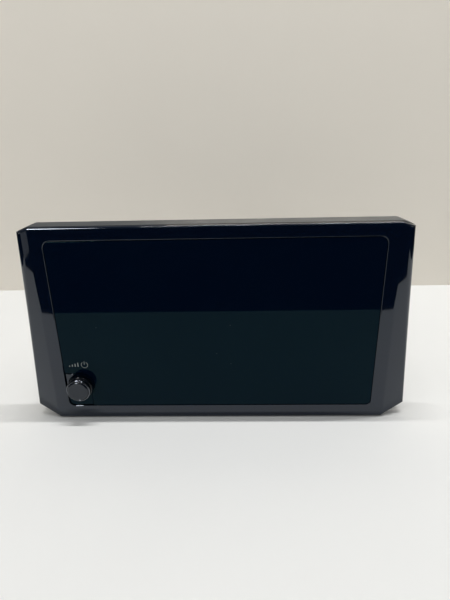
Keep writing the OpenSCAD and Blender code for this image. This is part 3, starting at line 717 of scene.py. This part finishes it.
def bezel_opening(bm):
    """The opening's wall and rolled edge. Returns the loop of vertices where the flat front begins."""
    opening = round_rect(-OPEN_X, OPEN_X, OPEN_LOW, OPEN_TOP, (TIGHT_R, OPEN_R, OPEN_R, OPEN_R))
    rings = [[(x, OPEN_DEPTH, z) for x, z in opening]]
    rings += [opening_ring(opening, i / OPEN_STEPS) for i in range(OPEN_STEPS + 1)]
    loops = [[bm.verts.new(at(x, y, z)) for x, y, z in ring] for ring in rings]
    for one, two in zip(loops, loops[1:]):
        bridge(bm, one, two)
    return loops[-1]


def bezel_front(bm, loop, right, left):
    """Four flat faces between the opening and the ridges, parted at the middle of its corners."""
    steps = len(loop) // 4
    parts = [(steps - 1) // 2 + steps * i for i in range(4)]
    bm.faces.new(right[::-1] + loop[parts[0]:parts[1] + 1][::-1])
    bm.faces.new([right[0], left[0]] + loop[parts[1]:parts[2] + 1][::-1])
    bm.faces.new(left + loop[parts[2]:parts[3] + 1][::-1])
    bm.faces.new([left[-1], right[-1]] + (loop[parts[3]:] + loop[:parts[0] + 1])[::-1])


def make_bezel(material):
    """The faceted frame: a flat ring round the screen, two crowned side facets, and rolled edges."""
    bm = bmesh.new()
    right_rows, right_ridge = bezel_side(bm, 1)
    left_rows, left_ridge = bezel_side(bm, -1)
    # The top and bottom walls between the two halves
    for right, right_next, left, left_next in zip(right_rows, right_rows[1:], left_rows, left_rows[1:]):
        for end in (0, -1):
            bm.faces.new((right[end], left[end], left_next[end], right_next[end]))
    bezel_front(bm, bezel_opening(bm), right_ridge, left_ridge)

    # The rear rim that faces the seam
    back = left_rows[0] + right_rows[0][::-1]
    places = [(v.co.x / MM, v.co.z / MM) for v in back]
    rim = [bm.verts.new(at(x, seam(x), z)) for x, z in inset(places, SEAM_RIM)]
    bridge(bm, back, rim)

    obj = add_object("bezel", bm, material)
    bevel(obj, BEZEL_ROUND, 3, by_angle=30, clamp=True)
    even_normals(obj)
    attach(obj, "display")
    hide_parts("front_bezel")


def collar_outline():
    """A corner piece whose right side runs round the knob."""
    left, low = -OPEN_X + COLLAR_INSET, OPEN_LOW + COLLAR_INSET
    radius = KNOB_R + COLLAR_WIDTH
    corner = OPEN_R - COLLAR_INSET
    points = [(KNOB_X + radius * math.cos(math.radians(NOTCH_ANGLE)), low)]
    points += corner_points(KNOB_X, KNOB_Z, radius, -NOTCH_ANGLE, 90, 24)
    points += [(left, KNOB_Z + radius)]
    points += corner_points(left + corner, low + corner, corner, 180, 270, 8)
    return points


def make_glass(material):
    """Cover glass with rounded corners, notched round the knob's collar."""
    left, right = -OPEN_X + OPEN_GAP, OPEN_X - OPEN_GAP
    low, top = OPEN_LOW + OPEN_GAP, OPEN_TOP - OPEN_GAP
    radius, tight = OPEN_R - OPEN_GAP, TIGHT_R - OPEN_GAP
    reach = KNOB_R + COLLAR_WIDTH + NOTCH_GAP
    points = corner_points(right - tight, low + tight, tight, -90, 0, 8)
    points += corner_points(right - radius, top - radius, radius, 0, 90, 8)
    points += corner_points(left + radius, top - radius, radius, 90, 180, 8)
    points += [(left, KNOB_Z + reach)]
    points += corner_points(KNOB_X, KNOB_Z, reach, 90, -NOTCH_ANGLE, 24)
    points += [(KNOB_X + reach * math.cos(math.radians(NOTCH_ANGLE)), low)]
    obj = plate("screen", points, depth(GLASS_LOW), depth(GLASS_HIGH), GLASS_EDGE, material)
    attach(obj, "display")
    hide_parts("cover_glass")


def make_collar(plate_material, wedge_material):
    """A coated plate flush with the glass, and a gloss wedge that fills the space left of the knob."""
    flush = depth(GLASS_LOW)
    hole = corner_points(KNOB_X, KNOB_Z, SHAFT_HOLE_R, 0, 360, 32)[:-1]
    base = plate(
        "collar", collar_outline(), flush, depth(COLLAR_HIGH), COLLAR_EDGE, plate_material, [hole], steps=2
    )
    left = -OPEN_X + COLLAR_INSET
    low, top = KNOB_Z - WEDGE_FOOT_Z, KNOB_Z + KNOB_R + COLLAR_WIDTH
    points = [(left, low), (KNOB_X - WEDGE_FOOT_X, low)]
    points += corner_points(KNOB_X, KNOB_Z, KNOB_R + WEDGE_GAP, *WEDGE_ARC, 16)
    points += [(KNOB_X - WEDGE_TOP_X, top), (left, top)]
    wedge = plate(
        "collar_wedge", points, flush - WEDGE_PROUD, flush + WEDGE_ROOT, WEDGE_EDGE, wedge_material, steps=5
    )
    for obj in (base, wedge):
        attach(obj, "display")
        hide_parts("knob_collar")


def knob_piece(name, profile, radii, material, steps=4):
    """A softened profile turned about the knob's axis."""
    return turned(name, soften(profile, radii, steps), KNOB_X, KNOB_Z, material)


def make_knob(side_material, rim_material, face_material):
    """Side with a base band and a waist, a bright rim, and a satin disc that stands proud."""
    front, back, rim_y, disc_y = depth(CAP_LOW), depth(CAP_HIGH), depth(RIM_LOW), depth(DISC_LOW)
    waist = KNOB_R - WAIST
    side = [
        (HOLLOW_R, HOLLOW_Y), (HOLLOW_R, back), (KNOB_R, back), (KNOB_R, BAND_Y),
        (waist, BAND_Y - 0.1), (waist, front), (0, front),
    ]
    body = knob_piece("knob_side", side, [0, 0.1, 0.3, 0.45, 0.2, 0.1, 0], side_material)
    edge = KNOB_R - RIM_INSET
    inner = edge - RIM_WIDTH
    rim = [
        (inner, front), (inner, rim_y + 0.15), (edge - 0.8, rim_y), (edge - 0.45, rim_y + 0.1),
        (edge, rim_y + 0.5), (edge, front), (inner, front),
    ]
    ring = knob_piece("knob_rim", rim, [0, 0.05, 0.15, 0.3, 0.25, 0.1, 0], rim_material)
    disc_r = KNOB_R - DISC_INSET
    disc = [
        (0, front), (disc_r, front), (disc_r, disc_y + DISC_ROUND),
        (disc_r - DISC_ROUND, disc_y), (0, disc_y + 0.05),
    ]
    top = knob_piece("knob_disc", disc, [0, 0, 0.2, 0.3, 0], face_material, 5)
    for obj, node, slot in (
        (body, "knob_cap", "knob_side"), (ring, "knob_ring", "knob_ring"), (top, "knob_face", "knob_face")
    ):
        even_normals(obj)
        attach(obj, "knob")
        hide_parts(node)


def rectangle(left, right, low, top):
    return [(left, low), (right, low), (right, top), (left, top)]


def make_marks(material):
    """A power sign and a rising row of bars for volume, printed on the glass."""
    start, end = 90 + POWER_GAP, 450 - POWER_GAP
    ring = corner_points(POWER_X, POWER_Z, POWER_R, start, end, 32)
    ring += corner_points(POWER_X, POWER_Z, POWER_INNER_R, end, start, 32)
    shapes = [ring]
    shapes.append(rectangle(POWER_X - STEM_HALF, POWER_X + STEM_HALF, POWER_Z + STEM_LOW, POWER_Z + STEM_TOP))
    for i in range(BARS):
        x = BAR_X + i * BAR_PITCH
        height = BAR_LOWEST + BAR_RISE * i / (BARS - 1)
        shapes.append(rectangle(x, x + BAR_WIDTH, BAR_Z, BAR_Z + height))
    glass_y = depth(GLASS_LOW)
    bm = bmesh.new()
    for points in shapes:
        front = [bm.verts.new(at(x, glass_y - MARK_PROUD, z)) for x, z in points]
        root = [bm.verts.new(at(x, glass_y + MARK_ROOT, z)) for x, z in points]
        fill(bm, [front])
        fill(bm, [root])
        bridge(bm, front, root)
    obj = add_object("marks", bm, material)
    for face in obj.data.polygons:
        face.use_smooth = False
    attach(obj, "display")


def cut_by_plane(bm, point, normal, close=True):
    """Keeps the part behind the plane, and closes the cut unless told to leave it open."""
    geometry = bm.verts[:] + bm.edges[:] + bm.faces[:]
    cut = bmesh.ops.bisect_plane(bm, geom=geometry, plane_co=point, plane_no=normal, clear_outer=True)
    if close:
        edges = [e for e in cut["geom_cut"] if isinstance(e, bmesh.types.BMEdge)]
        bmesh.ops.edgeloop_fill(bm, edges=edges)


def shell_block(material):
    """A block cut to the pod's outline, with its sides tapering to its back and its edges rounded."""
    back = depth(SHELL_HIGH)
    side = SHELL_HIGH.x / MM
    proud = side - LOWER_CORNER_X
    upper, lower = UPPER_CORNER_X + proud, LOWER_CORNER_X + proud
    taper = SEAM_Y + SEAM_GAP + (side - FLAT_X) * SEAM_SLOPE + SHELL_LIP
    side_rise, cut_rise = UPPER_CORNER_Z - LOWER_CORNER_Z, POD_H - UPPER_CORNER_Z
    bm = bmesh.new()
    bmesh.ops.create_cube(bm, size=1)
    for vertex in bm.verts:
        vertex.co = at(*[c + v * size for c, v, size in zip(SHELL_BLOCK_CENTRE, vertex.co, SHELL_BLOCK)])
    cut_by_plane(bm, at(0, back, 0), (0, 1, 0))
    cut_by_plane(bm, at(0, 0, 0), (0, 0, -1))
    cut_by_plane(bm, at(0, 0, POD_H), (0, 0, 1))
    for s in (1, -1):
        cut_by_plane(bm, at(s * upper, 0, UPPER_CORNER_Z), (s * side_rise, 0, lower - upper))
        cut_by_plane(bm, at(s * SHELL_TOP_X, 0, POD_H), (s * cut_rise, 0, upper - SHELL_TOP_X))
        cut_by_plane(bm, at(s * SHELL_SOLE_X, 0, 0), (s * LOWER_CORNER_Z, 0, SHELL_SOLE_X - lower))
        cut_by_plane(bm, at(s * side, taper, 0), (s * (back - taper), side - SHELL_BACK_X, 0))
    bmesh.ops.remove_doubles(bm, verts=bm.verts[:], dist=1e-6)
    obj = add_object("shell", bm, material)
    bevel(obj, SHELL_ROUND, 4, by_angle=15)
    bake_modifiers(obj)
    return obj


def hollow_shell(obj):
    """Cuts the front off along the bezel's faceted seam, and gives what is left a wall."""
    bm = bmesh.new()
    bm.from_mesh(obj.data)
    for side in (0, 1, -1):
        cut_by_plane(bm, at(side * FLAT_X, SEAM_Y + SEAM_GAP, 0), (side * SEAM_SLOPE, -1, 0), close=False)
    bm.to_mesh(obj.data)
    bm.free()
    wall = obj.modifiers.new("Wall", "SOLIDIFY")
    wall.thickness = SHELL_WALL * MM
    wall.offset = -1
    wall.use_even_offset = True
    bevel(obj, WALL_ROUND, 2, by_angle=50, clamp=True)
    bake_modifiers(obj)


def bore_screw_holes(obj, material):
    """Six bores in the back wall, with a chamfer at the mouth of each."""
    back = depth(SHELL_HIGH)
    wide = BORE_R + BORE_CHAMFER
    profile = [
        (0, BORE_END_Y), (BORE_R, BORE_END_Y), (BORE_R, back - BORE_CHAMFER),
        (wide, back), (wide, back + 1), (0, back + 1),
    ]
    places = [(x, z) for x in (-SCREW_X, 0, SCREW_X) for z in SCREW_Z]
    cutters = [turned("cutter", profile, x, z, material, 32) for x, z in places]
    for cutter in cutters:
        hole = obj.modifiers.new("Hole", "BOOLEAN")
        hole.operation = "DIFFERENCE"
        hole.object = cutter
        hole.solver = "EXACT"
    bake_modifiers(obj)
    for cutter in cutters:
        bpy.data.objects.remove(cutter)


def make_shell(material):
    """The moulded rear shell: a little proud of the bezel at the sides, tapering to its back."""
    obj = shell_block(material)
    hollow_shell(obj)
    bore_screw_holes(obj, material)
    even_normals(obj)
    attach(obj, "display")
    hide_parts("rear_shell")


def dress_cad(materials):
    """Gives each CAD node that still shows its slot's material and slightly softened edges."""
    slots = {row["node"]: row["material_slot"] for row in frame["record"]["subparts"]}
    for name, obj in frame["nodes"].items():
        if obj.hide_render:
            continue
        obj.data.materials.clear()
        obj.data.materials.append(materials[slots[name]])
        weld = obj.modifiers.new("Weld", "WELD")
        weld.merge_threshold = WELD_REACH * MM
        flat = obj.modifiers.new("Flats", "DECIMATE")
        flat.decimate_type = "DISSOLVE"
        flat.angle_limit = math.radians(FLAT_ANGLE)
        bevel(obj, CAD_ROUND, 2, by_angle=35, clamp=True)
        even_normals(obj)


# --- stage ---------------------------------------------------------------------------------

def sheet(name, corners, material):
    """A flat sheet of any outline. It belongs to the stage."""
    bm = bmesh.new()
    bm.faces.new([bm.verts.new(c) for c in corners])
    mesh = bpy.data.meshes.new(name)
    bm.to_mesh(mesh)
    bm.free()
    obj = bpy.data.objects.new(name, mesh)
    SCENE.collection.objects.link(obj)
    mesh.materials.append(material)
    return obj


def pale(name, color, rough=0.6):
    """Matte white or cream, with faint clouds and a fine grain."""
    n = Nodes(name)
    tone = n.shades(n.spread(n.noise(9, 3)), color, 0.985, 1.0)
    return n.finish(tone, rough, normal=n.bump(n.noise(160, 3), 0.05), ior=1.3)


def glow(name, color, strength):
    """Plain light of one colour."""
    material = bpy.data.materials.new(name)
    material.use_nodes = True
    tree = material.node_tree
    tree.nodes.clear()
    out = tree.nodes.new("ShaderNodeOutputMaterial")
    light = tree.nodes.new("ShaderNodeEmission")
    light.inputs["Color"].default_value = color
    light.inputs["Strength"].default_value = strength
    tree.links.new(light.outputs[0], out.inputs["Surface"])
    return material


def gloss_only(obj):
    """Seen in reflections and nowhere else."""
    obj.visible_camera = False
    obj.visible_diffuse = False
    obj.visible_shadow = False
    obj.visible_transmission = False


def lighten_far(material):
    """Far from the lights the floor gets a glow of its own, so that it stays pale up to the horizon."""
    tree = material.node_tree
    shader = tree.nodes["Principled BSDF"]
    place = tree.nodes.new("ShaderNodeTexCoord")
    length = tree.nodes.new("ShaderNodeVectorMath")
    length.operation = "LENGTH"
    rise = tree.nodes.new("ShaderNodeMapRange")
    for name, value in (
        ("From Min", FLOOR_GLOW_START), ("From Max", FLOOR_GLOW_FULL), ("To Min", 0.0), ("To Max", FLOOR_GLOW)
    ):
        rise.inputs[name].default_value = value
    tree.links.new(place.outputs["Object"], length.inputs[0])
    tree.links.new(length.outputs["Value"], rise.inputs["Value"])
    tree.links.new(rise.outputs["Result"], shader.inputs["Emission Strength"])
    shader.inputs["Emission Color"].default_value = rgb(*TABLE_COLOR)


def make_stage():
    """A pale table and cloth. Twins of them, cut to an outline, stand in for them in reflections."""
    face = FACE_Y * MM
    table = pale("table", TABLE_COLOR)
    ground = pale("ground", TABLE_COLOR)
    lighten_far(ground)
    floor = sheet("floor", [(-FAR, -FAR, 0), (FAR, -FAR, 0), (FAR, FAR, 0), (-FAR, FAR, 0)], ground)
    floor.visible_glossy = False
    gloss_only(sheet("floor_seen", [(x, face - before, TABLE_LIFT) for x, before in TABLE_OUTLINE], table))
    card = glow("card", rgb(0.9, 0.92, 0.95), CARD_GLOW)
    gloss_only(sheet("card", [(x, face - before, CARD_LIFT) for x, before in CARD_OUTLINE], card))
    cloth = pale("backdrop", CLOTH_COLOR, 0.8)
    shader = cloth.node_tree.nodes["Principled BSDF"]
    shader.inputs["Emission Color"].default_value = rgb(*CLOTH_COLOR)
    shader.inputs["Emission Strength"].default_value = CLOTH_GLOW
    behind = sheet("backdrop", [(x, CLOTH_Y, z) for x, z in rectangle(-FAR, FAR, 0, CLOTH_TOP)], cloth)
    behind.visible_glossy = False
    gloss_only(sheet("backdrop_seen", [(x, CLOTH_Y - CLOTH_LIFT, z) for x, z in CLOTH_OUTLINE], cloth))
    see_through_back(cloth)


def see_through_back(material):
    """The side that faces away from the object isn't seen."""
    tree = material.node_tree
    out = tree.nodes["Material Output"]
    shader = tree.nodes["Principled BSDF"]
    clear = tree.nodes.new("ShaderNodeBsdfTransparent")
    side = tree.nodes.new("ShaderNodeNewGeometry")
    mix = tree.nodes.new("ShaderNodeMixShader")
    tree.links.new(side.outputs["Backfacing"], mix.inputs[0])
    tree.links.new(shader.outputs[0], mix.inputs[1])
    tree.links.new(clear.outputs[0], mix.inputs[2])
    tree.links.new(mix.outputs[0], out.inputs["Surface"])


def make_world():
    """Dim above the horizon, black below it: what lies past the table in a reflection. Pale to the eye."""
    world = bpy.data.worlds.new("studio")
    SCENE.world = world
    world.use_nodes = True
    tree = world.node_tree
    background = tree.nodes["Background"]
    place = tree.nodes.new("ShaderNodeTexCoord")
    split = tree.nodes.new("ShaderNodeSeparateXYZ")
    # The direction's height, from -1 to 1, becomes 0 to 1, with the horizon in the middle
    shift = tree.nodes.new("ShaderNodeMath")
    shift.operation = "MULTIPLY_ADD"
    shift.inputs[1].default_value = 0.5
    shift.inputs[2].default_value = 0.5
    ramp = tree.nodes.new("ShaderNodeValToRGB")
    below, above = ramp.color_ramp.elements
    below.position, below.color = 0.49, rgb(0.004, 0.007, 0.012)
    above.position, above.color = 0.52, rgb(0.10, 0.11, 0.12)
    paths = tree.nodes.new("ShaderNodeLightPath")
    seen = tree.nodes.new("ShaderNodeMixRGB")
    seen.inputs["Color2"].default_value = rgb(0.60, 0.585, 0.55)
    tree.links.new(place.outputs["Generated"], split.inputs[0])
    tree.links.new(split.outputs["Z"], shift.inputs[0])
    tree.links.new(shift.outputs[0], ramp.inputs[0])
    tree.links.new(paths.outputs["Is Camera Ray"], seen.inputs["Fac"])
    tree.links.new(ramp.outputs["Color"], seen.inputs["Color1"])
    tree.links.new(seen.outputs["Color"], background.inputs["Color"])
    background.inputs["Strength"].default_value = 1.0


def area_light(name, place, target, size, power, color=(1, 1, 1)):
    """A rectangle of light at a place, turned towards a target."""
    data = bpy.data.lights.new(name, "AREA")
    data.shape = "RECTANGLE"
    data.size, data.size_y = size
    data.energy = power
    data.color = color
    obj = bpy.data.objects.new(name, data)
    SCENE.collection.objects.link(obj)
    obj.location = place
    obj.rotation_mode = "QUATERNION"
    obj.rotation_quaternion = (Vector(place) - Vector(target)).to_track_quat("Z", "Y")
    return obj


def make_lights():
    """Soft light from above and all round, a thin tube overhead, and a window that only gloss reflects."""
    face = FACE_Y * MM
    for name, place, size, power, color in SOFT_LIGHTS:
        area_light(name, place, LIGHT_TARGET, size, power, color).visible_glossy = False
    over = face + TUBE_BEHIND
    area_light("tube", (TUBE_X, over, TUBE_Z), (TUBE_X, over, 0), TUBE_SIZE, TUBE_POWER)
    y = face - WINDOW_BEFORE
    far_x, tip_x = WINDOW_X
    half_y, half_z = WINDOW_HALF
    window = [
        (far_x, y - half_y, WINDOW_Z - half_z), (tip_x, y, WINDOW_Z), (far_x, y + half_y, WINDOW_Z + half_z)
    ]
    gloss_only(sheet("window", window, glow("window", rgb(1, 1, 1), WINDOW_GLOW)))


def make_camera():
    """Stands in front of the pod, above it, looking down, turned and tilted a little."""
    down, turn, tilt = [math.radians(a) for a in (CAMERA_DOWN, CAMERA_TURN, CAMERA_TILT)]
    forward = Vector((math.sin(turn) * math.cos(down), math.cos(turn) * math.cos(down), -math.sin(down)))
    level = Vector((math.cos(turn), -math.sin(turn), 0))
    upright = level.cross(forward)
    right = level * math.cos(tilt) + upright * math.sin(tilt)
    up = -level * math.sin(tilt) + upright * math.cos(tilt)
    data = bpy.data.cameras.new("camera")
    data.sensor_fit = "VERTICAL"
    data.sensor_height = CAMERA_FRAME
    data.sensor_width = CAMERA_FRAME
    data.lens = CAMERA_LENS
    data.clip_start = 0.01
    obj = bpy.data.objects.new("camera", data)
    SCENE.collection.objects.link(obj)
    place = at(*CAMERA_PLACE)
    obj.matrix_world = Matrix([[right[i], up[i], -forward[i], place[i]] for i in range(3)] + [[0, 0, 0, 1]])
    SCENE.camera = obj


materials = make_materials()
make_bezel(materials["gloss_black"])
make_glass(materials["cover_glass"])
make_collar(materials["cover_glass"], materials["gloss_black"])
make_knob(materials["knob_side"], materials["knob_ring"], materials["knob_face"])
make_marks(print_white())
make_shell(materials["shell_plastic"])
dress_cad(materials)
make_stage()
make_world()
make_lights()
make_camera()
